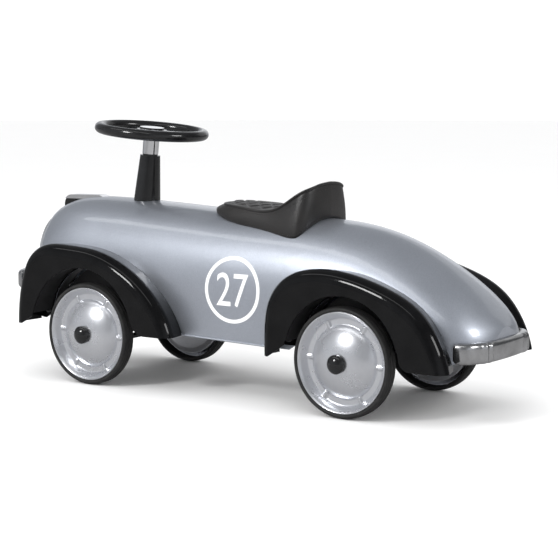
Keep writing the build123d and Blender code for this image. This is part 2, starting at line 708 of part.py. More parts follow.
# ---------------------------------------------------------------- write the nodes
nodes = {
    "body_shell": body_shell,
    "front_fender_left": front_fender,
    "front_fender_right": mirror(front_fender, about=Plane.XZ),
    "rear_fender_left": rear_fender,
    "rear_fender_right": mirror(rear_fender, about=Plane.XZ),
    "fender_screws": fender_screws,
    "grille_frame": grille_frame,
    "grille_bars": grille_bars,
    "hood_crest": hood_crest,
    "crest_pad": crest_pad,
    "front_bumper": front_bumper,
    "rear_bumper": rear_bumper,
    "bumper_brackets": bumper_brackets,
    "column_sleeve": column_sleeve,
    "upper_bush": upper_bush,
    "lower_bush": lower_bush,
    "steering_column": steering_column,
    "column_collar": column_collar,
    "steering_rim": steering_rim,
    "steering_spokes": steering_spokes,
    "steering_hub_cap": hub_cap,
    "pitman_arm": pitman_arm,
    "front_axle_beam": front_axle_beam,
    "beam_spacers": beam_spacers,
    "beam_bolts": beam_bolts,
    "tie_rod": tie_rod,
    "knuckle_left": knuckle_left,
    "knuckle_right": knuckle_right,
    "kingpin_left": kingpin(1),
    "kingpin_right": kingpin(-1),
    "chassis_pan": chassis_pan,
    "wheel_wells": wheel_wells,
    "rear_axle": rear_axle,
    "rear_axle_brackets": bracket,
    "rear_axle_spacers": rear_spacers,
    "seat_base": seat_base,
    "seat_cushion": seat_cushion,
    "seat_bolts": seat_bolts,
}
for end, x in (("front", front_axle_x), ("rear", rear_axle_x)):
    made = {"tyre": tyre(x), "disc_outer": disc_outer(x), "disc_inner": disc_inner(x),
            "hub_bush": hub_bush(x), "axle_cap": axle_cap(x)}
    for name, shape in made.items():
        nodes[f"{name}_{end}_left"] = shape
        nodes[f"{name}_{end}_right"] = mirror(shape, about=Plane.XZ)

for name, shape in nodes.items():
    save(name, shape)
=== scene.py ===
"""Looks of the ride-on push car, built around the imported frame.

Metres; +X nose, +Y driver's left, +Z up.
"""

import bmesh
import bpy
import json
import math
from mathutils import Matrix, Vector
from mathutils.bvhtree import BVHTree


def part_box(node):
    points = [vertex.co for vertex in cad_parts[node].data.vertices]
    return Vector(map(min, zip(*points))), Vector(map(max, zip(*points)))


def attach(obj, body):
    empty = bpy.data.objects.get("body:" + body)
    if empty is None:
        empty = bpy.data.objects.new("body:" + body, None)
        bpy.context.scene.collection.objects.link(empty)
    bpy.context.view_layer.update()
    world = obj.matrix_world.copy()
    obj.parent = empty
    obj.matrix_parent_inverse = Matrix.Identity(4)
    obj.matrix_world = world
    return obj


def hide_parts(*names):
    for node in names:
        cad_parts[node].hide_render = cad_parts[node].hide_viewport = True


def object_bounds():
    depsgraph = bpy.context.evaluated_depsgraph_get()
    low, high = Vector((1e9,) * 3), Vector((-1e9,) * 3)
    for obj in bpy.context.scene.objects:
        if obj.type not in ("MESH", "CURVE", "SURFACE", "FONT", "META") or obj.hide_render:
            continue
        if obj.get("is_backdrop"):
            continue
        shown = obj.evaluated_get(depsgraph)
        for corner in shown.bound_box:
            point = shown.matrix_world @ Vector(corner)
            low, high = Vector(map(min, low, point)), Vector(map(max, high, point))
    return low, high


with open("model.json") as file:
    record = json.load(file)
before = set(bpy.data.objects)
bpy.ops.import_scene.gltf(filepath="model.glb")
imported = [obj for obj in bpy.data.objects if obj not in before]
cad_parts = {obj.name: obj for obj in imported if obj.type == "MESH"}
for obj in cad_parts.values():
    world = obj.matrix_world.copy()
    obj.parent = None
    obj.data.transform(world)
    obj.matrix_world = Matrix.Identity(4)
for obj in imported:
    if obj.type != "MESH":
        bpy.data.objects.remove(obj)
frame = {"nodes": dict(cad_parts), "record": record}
cad_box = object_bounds()
nodes = frame["nodes"]
MM = 0.001
scene = bpy.context.scene


# ---------------------------------------------------------------- node graphs
class Paint:
    """One material: a Principled shader with small helpers to wire its procedural inputs."""

    def __init__(self, name, **sockets):
        self.material = bpy.data.materials.new(name)
        self.material.use_nodes = True
        self.tree = self.material.node_tree
        self.shader = self.tree.nodes["Principled BSDF"]
        for key, value in sockets.items():
            self.shader.inputs[key.replace("_", " ")].default_value = value
        self.place = self.node("ShaderNodeTexCoord").outputs["Object"]
        self.normal = None

    def node(self, kind, inputs=None, **settings):
        """New node of a kind, with its inputs wired or set."""
        made = self.tree.nodes.new(kind)
        for key, value in settings.items():
            setattr(made, key, value)
        for key, value in (inputs or {}).items():
            self.feed(made.inputs[key], value)
        return made

    def feed(self, socket, value):
        if isinstance(value, bpy.types.NodeSocket):
            self.tree.links.new(value, socket)
        else:
            socket.default_value = value

    def stretched(self, x, y, z):
        """Object coordinates scaled along each axis."""
        made = self.node("ShaderNodeMapping", {"Vector": self.place, "Scale": (x, y, z)})
        return made.outputs["Vector"]

    def noise(self, scale, detail=3.0, rough=0.55, at=None):
        made = self.node("ShaderNodeTexNoise", {"Vector": at or self.place, "Scale": scale,
                                                "Detail": detail, "Roughness": rough})
        return made.outputs["Fac"]

    def cells(self, scale, output="Distance", feature="F1", at=None):
        made = self.node("ShaderNodeTexVoronoi", {"Vector": at or self.place, "Scale": scale},
                         feature=feature)
        return made.outputs[output]

    def ramp(self, value, low, high, to_low, to_high):
        made = self.node("ShaderNodeMapRange", {"Value": value, "From Min": low, "From Max": high,
                                                "To Min": to_low, "To Max": to_high})
        return made.outputs["Result"]

    def maths(self, operation, a, b=0.0):
        return self.node("ShaderNodeMath", {0: a, 1: b}, operation=operation).outputs[0]

    def colours(self, factor, first, second):
        """Mix of two colours by a factor."""
        made = self.node("ShaderNodeMix", {"Factor": factor}, data_type="RGBA")
        self.feed(made.inputs["A"], (*first, 1.0))
        self.feed(made.inputs["B"], (*second, 1.0))
        return made.outputs["Result"]

    def set(self, socket, value):
        """Wire or set one socket of the shader."""
        self.feed(self.shader.inputs[socket], value)

    def bump(self, height, depth, strength=1.0):
        """Add relief of the given depth, in metres, on top of what is there."""
        inputs = {"Height": height, "Distance": depth, "Strength": strength}
        if self.normal is not None:
            inputs["Normal"] = self.normal
        self.normal = self.node("ShaderNodeBump", inputs).outputs["Normal"]
        self.feed(self.shader.inputs["Normal"], self.normal)


def metallic_paint(name, dark, light, rough, metal, coat, flake_depth):
    """Silver paint with flakes under a clear coat."""
    paint = Paint(name, Metallic=metal, Coat_Weight=coat, Coat_Roughness=0.035, Coat_IOR=1.5)
    flakes = paint.cells(2600.0, "Color")
    shade = paint.node("ShaderNodeSeparateColor", {"Color": flakes}).outputs["Red"]
    cloud = paint.maths("MULTIPLY", paint.noise(9.0, 2.0), 0.35)
    tone = paint.maths("ADD", paint.maths("MULTIPLY", shade, 0.65), cloud)
    paint.set("Base Color", paint.colours(tone, dark, light))
    paint.set("Roughness", paint.ramp(paint.noise(26.0, 4.0), 0.3, 0.7, rough - 0.025, rough + 0.03))
    if flake_depth:
        paint.bump(shade, flake_depth, 0.3)
    paint.bump(paint.noise(240.0, 2.0), 0.000006, 0.2)
    return paint.material


def gloss_black(name, tint, rough, peel, coat, level=0.5):
    """Black enamel or moulded plastic: deep gloss, faint orange peel, some dust and fine marks."""
    paint = Paint(name, Coat_Weight=coat, Coat_Roughness=0.03, Specular_IOR_Level=level)
    dust = paint.noise(34.0, 6.0, 0.65)
    paint.set("Base Color", paint.colours(paint.ramp(dust, 0.35, 0.75, 0.0, 1.0), tint,
                                          tuple(1.7 * c + 0.002 for c in tint)))
    marks = paint.noise(60.0, 5.0, 0.7, paint.stretched(0.25, 1.0, 1.0))
    paint.set("Roughness", paint.ramp(marks, 0.35, 0.75, rough, rough + 0.05))
    paint.bump(paint.noise(210.0, 2.0), peel, 0.3)
    return paint.material


def bare_metal(name, dark, light, rough, spread, grain, grain_depth, stretch=(1, 1, 1)):
    """Plated or brushed metal with stains in its gloss and fine grain along one way."""
    paint = Paint(name, Metallic=1.0)
    stain = paint.noise(45.0, 5.0, 0.6)
    paint.set("Base Color", paint.colours(paint.ramp(stain, 0.35, 0.7, 0.0, 1.0), light, dark))
    lines = paint.noise(grain, 4.0, 0.65, paint.stretched(*stretch))
    both = paint.maths("ADD", paint.maths("MULTIPLY", lines, 0.7), paint.maths("MULTIPLY", stain, 0.3))
    paint.set("Roughness", paint.ramp(both, 0.3, 0.7, rough - spread, rough + spread))
    paint.bump(lines, grain_depth, 0.4)
    return paint.material


def satin_black(name, tint, rough, grain, depth):
    """Powder coat or nylon: fine pebbled skin, dull, a little uneven."""
    paint = Paint(name, Specular_IOR_Level=0.4)
    patch = paint.noise(28.0, 5.0)
    paint.set("Base Color", paint.colours(paint.ramp(patch, 0.35, 0.7, 0.0, 1.0), tint,
                                          tuple(1.6 * c + 0.003 for c in tint)))
    paint.set("Roughness", paint.ramp(patch, 0.3, 0.7, rough - 0.06, rough + 0.08))
    paint.bump(paint.cells(grain), depth, 0.5)
    return paint.material


def leather(name):
    """Black leatherette: pebbled grain, fine creases and a slight brown cast in random patches."""
    paint = Paint(name, Specular_IOR_Level=0.45, Sheen_Weight=0.05, Sheen_Roughness=0.45)
    patch = paint.noise(14.0, 5.0, 0.6)
    paint.set("Base Color", paint.colours(paint.ramp(patch, 0.35, 0.7, 0.0, 1.0),
                                          (0.0085, 0.0080, 0.0080), (0.017, 0.0150, 0.0142)))
    grain = paint.cells(620.0, feature="SMOOTH_F1")
    wrinkle = paint.cells(150.0, feature="DISTANCE_TO_EDGE", at=paint.stretched(1.0, 1.6, 0.8))
    paint.set("Roughness", paint.maths("ADD", paint.ramp(patch, 0.3, 0.7, 0.33, 0.42),
                                       paint.maths("MULTIPLY", grain, 0.12)))
    paint.bump(grain, 0.00022, 0.55)
    paint.bump(paint.ramp(wrinkle, 0.0, 0.12, 0.0, 1.0), 0.00008, 0.35)
    return paint.material


def rubber(name):
    """Tyre rubber: matte, pebbled, a little dust in the relief."""
    paint = Paint(name, Specular_IOR_Level=0.35)
    dust = paint.noise(55.0, 6.0, 0.7)
    paint.set("Base Color", paint.colours(paint.ramp(dust, 0.4, 0.75, 0.0, 1.0),
                                          (0.013, 0.013, 0.0135), (0.028, 0.027, 0.026)))
    paint.set("Roughness", paint.ramp(dust, 0.3, 0.7, 0.50, 0.66))
    paint.bump(paint.noise(900.0, 3.0), 0.00012, 0.5)
    return paint.material


def white_enamel(name):
    """Screen printed white with the clear coat's gloss over it."""
    paint = Paint(name, Coat_Weight=0.8, Coat_Roughness=0.05)
    cloud = paint.noise(70.0, 4.0)
    paint.set("Base Color", paint.colours(cloud, (0.80, 0.81, 0.82), (0.90, 0.90, 0.90)))
    paint.set("Roughness", paint.ramp(cloud, 0.3, 0.7, 0.30, 0.40))
    paint.bump(paint.noise(600.0, 2.0), 0.00002, 0.3)
    return paint.material


finish = {
    "body_paint": metallic_paint("body_paint", (0.355, 0.38, 0.43), (0.54, 0.57, 0.63),
                                 rough=0.42, metal=0.86, coat=0.75, flake_depth=0.000006),
    "wheel_metal": metallic_paint("wheel_metal", (0.61, 0.62, 0.65), (0.73, 0.74, 0.77),
                                  rough=0.28, metal=0.88, coat=0.3, flake_depth=0.0),
    "fender_paint": gloss_black("fender_paint", (0.0016, 0.0016, 0.0018),
                                rough=0.06, peel=0.00001, coat=0.0, level=0.22),
    "black_plastic": gloss_black("black_plastic", (0.0045, 0.0045, 0.0048),
                                 rough=0.13, peel=0.00002, coat=0.08),
    "zinc_steel": bare_metal("zinc_steel", (0.45, 0.45, 0.44), (0.68, 0.69, 0.71),
                             rough=0.30, spread=0.08, grain=500.0, grain_depth=0.00002),
    "chrome": bare_metal("chrome", (0.70, 0.70, 0.71), (0.84, 0.84, 0.85),
                         rough=0.10, spread=0.04, grain=300.0, grain_depth=0.00001),
    "brushed_metal": bare_metal("brushed_metal", (0.36, 0.36, 0.36), (0.52, 0.52, 0.525),
                                rough=0.22, spread=0.05, grain=900.0, grain_depth=0.00003,
                                stretch=(0.05, 0.05, 1.6)),
    "black_steel": satin_black("black_steel", (0.012, 0.012, 0.013), 0.42, 900.0, 0.00006),
    "nylon": satin_black("nylon", (0.035, 0.035, 0.035), 0.55, 700.0, 0.00005),
    "saddle_leather": leather("saddle_leather"),
    "tyre_rubber": rubber("tyre_rubber"),
}
number_paint = white_enamel("number_paint")

for part in frame["record"]["subparts"]:
    cad = nodes[part["node"]]
    for held in cad.material_slots:
        held.material = finish[part["material_slot"]]


# ---------------------------------------------------------------- mesh helpers
WELD = 0.00002          # vertices closer than this are one
SKIN_MISSED = 0.2       # height used where a ray down misses the body's skin
SIDES = (("left", 1), ("right", -1))


def add_piece(name, verts, faces, body, slot, material=None, smooth=True):
    """Mesh piece that rides on a body and takes a record slot's finish."""
    mesh = bpy.data.meshes.new(name)
    mesh.from_pydata([tuple(v) for v in verts], [], faces)
    made = bmesh.new()
    made.from_mesh(mesh)
    bmesh.ops.remove_doubles(made, verts=made.verts, dist=WELD)
    bmesh.ops.recalc_face_normals(made, faces=made.faces)
    made.to_mesh(mesh)
    made.free()
    for face in mesh.polygons:
        face.use_smooth = smooth
    piece = bpy.data.objects.new(name, mesh)
    scene.collection.objects.link(piece)
    mesh.materials.append(material or finish[slot])
    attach(piece, body)
    return piece


def grid_faces(rows, columns, wrap_rows=False, wrap_columns=False):
    """Quads of a grid whose vertex (row, column) has index row * columns + column."""
    faces = []
    for i in range(rows if wrap_rows else rows - 1):
        for j in range(columns if wrap_columns else columns - 1):
            a, b = i * columns, ((i + 1) % rows) * columns
            k = (j + 1) % columns
            faces.append((a + j, a + k, b + k, b + j))
    return faces


def hermite(points, t):
    """Smooth curve through points, one per whole t; ends are held."""
    last = len(points) - 1
    i = min(int(t), last - 1)
    f = t - i
    p0, p1, p2, p3 = (Vector(points[max(0, min(last, k))]) for k in (i - 1, i, i + 1, i + 2))
    return 0.5 * (2 * p1 + (p2 - p0) * f + (2 * p0 - 5 * p1 + 4 * p2 - p3) * f * f
                  + (3 * p1 - p0 - 3 * p2 + p3) * f ** 3)


def height_at(points, x):
    """Height of a smooth line through (x, height) points with falling x."""
    for i in range(len(points) - 1):
        if x >= points[i + 1][0] or i == len(points) - 2:
            f = (x - points[i][0]) / (points[i + 1][0] - points[i][0])
            return hermite([(p[1], 0.0) for p in points], i + max(0.0, min(1.0, f)))[0]


def bead(name, points, radius, body, slot, closed=False):
    """Round bead swept along a smooth line."""
    curve = bpy.data.curves.new(name, "CURVE")
    curve.dimensions = "3D"
    curve.bevel_depth = radius
    curve.bevel_resolution = 4
    curve.use_fill_caps = True
    line = curve.splines.new("NURBS")
    line.points.add(len(points) - 1)
    for held, p in zip(line.points, points):
        held.co = (*p, 1.0)
    line.order_u = 3
    line.use_endpoint_u = not closed
    line.use_cyclic_u = closed
    curve.materials.append(finish[slot])
    piece = bpy.data.objects.new(name, curve)
    scene.collection.objects.link(piece)
    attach(piece, body)
    return piece


def surface_of(node):
    """Search tree of a CAD node's faces."""
    mesh = nodes[node].data
    return BVHTree.FromPolygons([v.co.copy() for v in mesh.vertices],
                                [tuple(p.vertices) for p in mesh.polygons])


body_skin = surface_of("body_shell")


def on_top(x, y):
    """Height of the body's skin under (x, y)."""
    hit = body_skin.ray_cast(Vector((x, y, 1.0)), Vector((0, 0, -1)))[0]
    return hit.z if hit else SKIN_MISSED


def on_side(x, z, side):
    """Point of the body's skin at (x, z) on one side, and its normal."""
    hit, normal = body_skin.ray_cast(Vector((x, side, z)), Vector((0, -side, 0)))[:2]
    return hit, (normal if normal.y * side > 0 else -normal)


# ---------------------------------------------------------------- saddle
# Half outlines from the front middle round the left side to the back middle.
SEAM = [(0.0475, 0.0000, 0.2496), (0.0440, 0.0145, 0.2497), (0.0335, 0.0280, 0.2496),
        (0.0155, 0.0380, 0.2490), (-0.0050, 0.0435, 0.2476), (-0.0220, 0.0460, 0.2455),
        (-0.0380, 0.0472, 0.2446), (-0.0530, 0.0477, 0.2461), (-0.0670, 0.0480, 0.2507),
        (-0.0790, 0.0480, 0.2577), (-0.0895, 0.0477, 0.2646), (-0.0985, 0.0466, 0.2702),
        (-0.1062, 0.0430, 0.2744), (-0.1115, 0.0345, 0.2777), (-0.1142, 0.0205, 0.2812),
        (-0.1152, 0.0000, 0.2828)]
SKIRT = [(0.0590, 0.0000), (0.0555, 0.0170), (0.0445, 0.0325), (0.0250, 0.0430), (0.0020, 0.0488),
         (-0.0190, 0.0512), (-0.0380, 0.0533), (-0.0550, 0.0556), (-0.0700, 0.0580), (-0.0830, 0.0600),
         (-0.0940, 0.0605), (-0.1020, 0.0585), (-0.1080, 0.0510), (-0.1115, 0.0400), (-0.1145, 0.0220),
         (-0.1160, 0.0000)]
# Pad's height along its middle, from the front to the back, as (x, z).
RIDGE = [(0.031, 0.2542), (0.010, 0.2542), (-0.028, 0.2524), (-0.055, 0.2508), (-0.075, 0.2560),
         (-0.088, 0.2648), (-0.100, 0.2755)]
SKIRT_CLEAR = 0.0005
FOOT_CLEAR = SKIRT_CLEAR + 0.0008       # underside over the body's skin
FOOT_SHARES = (0.08, 0.3, 0.6, 1.0)
QUILT = 0.021                           # pitch of the diamonds along X
QUILT_SLANT = 0.9
QUILT_DEPTH = 0.0017
CHANNEL_WIDTH = 0.0021
QUILT_STARTS, QUILT_FADES_OVER = 0.16, 0.14     # shares of the way in from the seam
WALL_PLUMP, NOSE_PLUMP, NOSE_X = 0.0017, 0.0030, 0.055
HEM_TUCK = 0.0012
MIDDLE_X = -0.03
LOOP_STEPS = 8
PAD_RINGS = 26
WALL_RINGS = 12
PIPING_R = 0.0017
STITCH_R = 0.00032
STITCH_SIDES = 6
STITCH_RINGS = ((-0.5, 0.3), (-0.25, 1.0), (0.25, 1.0), (0.5, 0.3))     # (place along it, girth)


def whole_loop(half):
    """Closed loop from half an outline and its mirror image."""
    side = [hermite(half, i / LOOP_STEPS) for i in range((len(half) - 1) * LOOP_STEPS + 1)]
    return side + [Vector((p.x, -p.y, p.z)) for p in reversed(side[1:-1])]


def quilt_depth(x, y):
    """How deep the diamond channels press in at (x, y): 1 on a channel."""
    deep = 0.0
    for u in ((x + QUILT_SLANT * y) / QUILT, (x - QUILT_SLANT * y) / QUILT):
        away = abs(u - round(u)) * QUILT
        deep = max(deep, math.exp(-(away / CHANNEL_WIDTH) ** 2))
    return deep


seam_loop = whole_loop(SEAM)
skirt_loop = whole_loop([(x, y, on_top(x, y) + SKIRT_CLEAR) for x, y in SKIRT])
count = len(seam_loop)


def on_spine(x):
    """Nearest place to x on the pad's middle line."""
    return max(RIDGE[-1][0], min(RIDGE[0][0], x))


verts = []
for ring in range(PAD_RINGS, 0, -1):
    share = ring / PAD_RINGS
    fade = min(1.0, max(0.0, (share - QUILT_STARTS) / QUILT_FADES_OVER))
    for p in seam_loop:
        spine_x = on_spine(p.x)
        x, y = p.x + (spine_x - p.x) * share, p.y * (1 - share)
        z = p.z + (height_at(RIDGE, spine_x) - p.z) * math.sin(math.pi / 2 * share)
        verts.append((x, y, z - QUILT_DEPTH * fade * quilt_depth(x, y)))
verts += seam_loop
for ring in range(1, WALL_RINGS + 1):
    share = ring / WALL_RINGS
    for i, (p, q) in enumerate(zip(seam_loop, skirt_loop)):
        plump = WALL_PLUMP + NOSE_PLUMP * max(0.0, min(1.0, q.x / NOSE_X))
        swell = plump * math.sin(math.pi * share) - HEM_TUCK * share ** 8
        ahead, behind = skirt_loop[(i + 1) % count], skirt_loop[i - 1]
        out = Vector((ahead.y - behind.y, behind.x - ahead.x, 0.0)).normalized()
        if out.dot(Vector((q.x - MIDDLE_X, q.y, 0.0))) < 0:
            out = -out
        verts.append(p.lerp(q, share) + out * swell)
for share in FOOT_SHARES:
    for q in skirt_loop:
        x, y = q.x + (on_spine(q.x) - q.x) * share, q.y * (1 - share)
        verts.append((x, y, on_top(x, y) + FOOT_CLEAR))
saddle = add_piece("saddle_cover", verts, grid_faces(len(verts) // count, count, wrap_columns=True),
                   "chassis", "saddle_leather")
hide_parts("seat_cushion")
bead("saddle_piping", seam_loop[::3], PIPING_R, "chassis", "saddle_leather", closed=True)


def stitches(name, loop, inward, length, pitch):
    """Short thread stitches along a closed loop, each a small rounded lozenge."""
    marks, faces = [], []
    run = 0.0
    for i, p in enumerate(loop):
        q = loop[(i + 1) % len(loop)]
        step = (q - p).length
        while run < step:
            mid = p.lerp(q, run / step)
            way = (q - p).normalized()
            up = (inward[i] - p).normalized()
            side = way.cross(up).normalized()
            first = len(marks)
            for along, size in STITCH_RINGS:
                for k in range(STITCH_SIDES):
                    turn = math.tau * k / STITCH_SIDES
                    marks.append(mid + way * along * length
                                 + (up * math.cos(turn) + side * math.sin(turn)) * STITCH_R * size)
            faces += [tuple(first + v for v in f)
                      for f in grid_faces(len(STITCH_RINGS), STITCH_SIDES, wrap_columns=True)]
            last = len(marks) - STITCH_SIDES
            faces += [tuple(start + k for k in range(STITCH_SIDES)) for start in (first, last)]
            run += pitch
        run -= step
    add_piece(name, marks, faces, "chassis", "saddle_leather")


def wall_line(share):
    """Line on the saddle's side wall, a share of the way from seam to skirt."""
    row = verts[(PAD_RINGS + 1 + int(share * WALL_RINGS)) * count:][:count]
    return [Vector(v) for v in row]


stitches("saddle_seam_stitches", wall_line(0.09), seam_loop, length=0.0021, pitch=0.0034)
stitches("saddle_hem_stitches", wall_line(0.84), seam_loop, length=0.0023, pitch=0.0038)


# ---------------------------------------------------------------- wheels
# Pressed disc as (radius, distance out from its groove) in mm, from the bush to the rim's edge.
DISC = [(9.0, 17.4), (12.0, 17.3), (15.0, 16.9), (20.0, 15.9), (26.0, 14.1), (32.0, 11.6),
        (38.0, 8.4), (42.5, 5.2), (45.2, 2.6), (46.3, 0.9), (47.2, 0.1), (48.6, 0.0), (51.0, 0.0),
        (53.2, 0.0), (54.6, 0.3), (55.5, 1.3), (57.1, 3.9), (59.0, 6.9), (60.9, 9.4), (62.2, 10.7),
        (63.1, 11.0), (63.7, 10.5), (63.95, 9.2)]
DISC_SHEET = 1.0
SHEET_LEAN = 0.15               # share of the sheet by which its inside lies nearer the axle
GROOVE_Y = 110.0
LUGS = 6
LUG_TURN = math.radians(-27.0)
LUG_FROM, LUG_TO = 46.0, 55.5
LUG_HALF_WIDTH = 2.1
LUG_RISE = 2.3
LUG_SIDE, LUG_SIDE_SLOPE, LUG_END_SLOPE = 0.8, 0.9, 0.8
DISC_STEPS = 288
TYRE_STEPS = 144
# Tyre section as (radius, distance from its middle plane), half of it, from the bead to the crown.
TYRE = [(64.05, 8.6), (64.6, 9.2), (65.6, 9.7), (66.8, 9.9), (67.8, 9.6), (68.6, 8.8), (69.2, 7.4),
        (69.6, 6.2), (69.68, 5.6), (69.1, 5.3), (69.1, 4.7), (69.8, 4.4), (69.95, 2.6),
        (69.97, 1.0), (69.4, 0.7), (69.4, 0.0)]
TYRE_SEAT = [(64.0, -7.0), (64.0, 7.0)]     # where it sits on the rim
TYRE_MID_Y = 112.0


def disc_height(radius, turn):
    """Extra height of the small lugs that bridge the disc's groove."""
    step = math.tau / LUGS
    away = abs((turn + step / 2) % step - step / 2) * radius
    if not LUG_FROM < radius < LUG_TO:
        return 0.0
    edge = min(1.0, max(0.0, (LUG_HALF_WIDTH + LUG_SIDE - away) / LUG_SIDE_SLOPE))
    ends = min(1.0, (radius - LUG_FROM) / LUG_END_SLOPE, (LUG_TO - radius) / LUG_END_SLOPE)
    return LUG_RISE * edge * edge * (3 - 2 * edge) * ends


def spun(section, steps, centre, side, relief=None, lean=0.0):
    """Points of a section of (radius, height along the axle), mm, turned round a wheel's axle.

    The relief is looked up at each radius; lean then moves the point nearer the axle.
    """
    marks = []
    for r, y in section:
        for k in range(steps):
            turn = math.tau * k / steps
            out = y + (relief(r, turn) if relief else 0.0)
            marks.append(Vector((centre[0] - (r - lean) * MM * math.sin(turn), side * out * MM,
                                 centre[1] + (r - lean) * MM * math.cos(turn))))
    return marks


def wheel_pieces(end, side_name, side):
    """Pressed disc and tyre of one wheel."""
    low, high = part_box(f"tyre_{end}_{side_name}")
    centre = (low.x + high.x) / 2, (low.z + high.z) / 2
    body = f"wheel_{end}_{side_name}"
    profile = [hermite([(r, y, 0) for r, y in DISC], i / 2) for i in range(2 * len(DISC) - 1)]

    def lugs(radius, turn):
        return disc_height(radius, turn - LUG_TURN)

    outside = [(p.x, GROOVE_Y + p.y) for p in profile]
    inside = [(p.x, GROOVE_Y + p.y - DISC_SHEET) for p in reversed(profile)]
    marks = spun(outside, DISC_STEPS, centre, side, lugs)
    marks += spun(inside, DISC_STEPS, centre, side, lugs, SHEET_LEAN * DISC_SHEET)
    faces = grid_faces(2 * len(profile), DISC_STEPS, wrap_rows=True, wrap_columns=True)
    disc = add_piece(f"wheel_disc_{end}_{side_name}", marks, faces, body, "wheel_metal")
    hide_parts(f"disc_outer_{end}_{side_name}")

    section = TYRE + [(r, -y) for r, y in reversed(TYRE[:-1])] + TYRE_SEAT
    section = [(r, TYRE_MID_Y + y) for r, y in section]
    faces = grid_faces(len(section), TYRE_STEPS, wrap_rows=True, wrap_columns=True)
    tyre = add_piece(f"wheel_tyre_{end}_{side_name}", spun(section, TYRE_STEPS, centre, side), faces,
                     body, "tyre_rubber")
    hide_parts(f"tyre_{end}_{side_name}")


for end in ("front", "rear"):
    for side_name, side in SIDES:
        wheel_pieces(end, side_name, side)


# ---------------------------------------------------------------- bumpers
# Section of the pressed channel as (out from its face, height over its middle), mm: outside, inside.
CHANNEL = [(-12.0, 12.6), (-10.5, 13.0), (-6.5, 13.0), (-4.3, 12.7), (-2.5, 11.9), (-1.2, 10.6),
           (-0.3, 8.7), (0.0, 6.4), (0.0, -6.4), (-0.3, -8.7), (-1.2, -10.6), (-2.5, -11.9),
           (-4.3, -12.7), (-6.5, -13.0), (-12.0, -12.6),
           (-11.6, -11.4), (-6.5, -11.5), (-4.0, -10.6), (-2.0, -8.0), (-2.0, 8.0), (-4.0, 10.6),
           (-6.5, 11.5), (-11.6, 11.4)]
CHANNEL_OUTSIDE = 15            # the section's first points, which are on its outside
CHANNEL_DEPTH = 12.0
END_TAPER = 0.16
PLAN_STEPS = 12
RIB_AT = 0.051
RIB_HALF_WIDTH = 0.0115
RIB_RISE = 0.0034
RIB_FLAT_TOP = 1.6              # the swell times this is cut off at 1, for a flat top
GROOVE_SHARE = 0.7
GROOVE_HALF_WIDTH = 0.0028
# Half plans from the middle to the end, in metres, as (distance from the origin along X, half width).
BUMPER_PLAN = {
    "rear": [(0.3800, 0.0), (0.3797, 0.016), (0.3787, 0.034), (0.3757, 0.051), (0.3712, 0.066),
             (0.3650, 0.0770), (0.3570, 0.0826), (0.3500, 0.0842), (0.3450, 0.0846)],
    "front": [(0.3800, 0.0), (0.3797, 0.020), (0.3786, 0.040), (0.3760, 0.058), (0.3708, 0.0730),
              (0.3635, 0.0840), (0.3560, 0.0900), (0.3500, 0.0920)],
}


def rib_height(y):
    """Relief of the twin ribs on each side of a bumper: two ridges with a groove between them."""
    away = abs(abs(y) - RIB_AT)
    swell = 0.5 + 0.5 * math.cos(math.pi * min(1.0, away / RIB_HALF_WIDTH))
    groove = math.exp(-(away / GROOVE_HALF_WIDTH) ** 2)
    return RIB_RISE * (min(1.0, RIB_FLAT_TOP * swell) - GROOVE_SHARE * groove)


for end, sign in (("front", 1), ("rear", -1)):
    low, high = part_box(f"{end}_bumper")
    middle_z = (low.z + high.z) / 2
    plan = [(x, y, 0) for x, y in BUMPER_PLAN[end]]
    half = [hermite(plan, i / PLAN_STEPS) for i in range(PLAN_STEPS * (len(plan) - 1) + 1)]
    route = [Vector((sign * p.x, -p.y, 0)) for p in reversed(half[1:])]
    route += [Vector((sign * p.x, p.y, 0)) for p in half]
    marks = []
    for i, p in enumerate(route):
        along = (route[min(i + 1, len(route) - 1)] - route[max(i - 1, 0)]).normalized()
        out = Vector((along.y, -along.x, 0)) * sign
        from_end = min(i, len(route) - 1 - i) / PLAN_STEPS
        tall = 1.0 - END_TAPER * (1.0 - min(1.0, from_end)) ** 2
        for k, (d, z) in enumerate(CHANNEL):
            rib = rib_height(p.y) if k < CHANNEL_OUTSIDE else 0.0
            face = max(0.0, 1.0 + d / CHANNEL_DEPTH)
            marks.append(p + out * (d * MM + rib * face) + Vector((0, 0, middle_z + z * MM * tall)))
    size = len(CHANNEL)
    faces = grid_faces(len(route), size, wrap_columns=True)
    faces += [tuple(range(size)), tuple((len(route) - 1) * size + k for k in range(size))]
    shell = add_piece(f"{end}_bumper_face", marks, faces, "chassis", "brushed_metal")
    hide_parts(f"{end}_bumper")


# ---------------------------------------------------------------- wheel arches
ARCH_Z = 0.071
ARCHES = {"front": (0.2095, 0.091), "rear": (-0.2100, 0.084)}      # (x, radius) of each opening
# Curved liner of each arch, from the fender's face in to the upright panel of the well.
LINER_GAP = 0.0015
LINER_OUTER_Y = 0.1243
LINER_INNER_Y = 0.0640
LINER_FROM, LINER_TO = math.radians(13), math.radians(167)
LINER_THICK = 0.0010
LINER_STEPS = 96

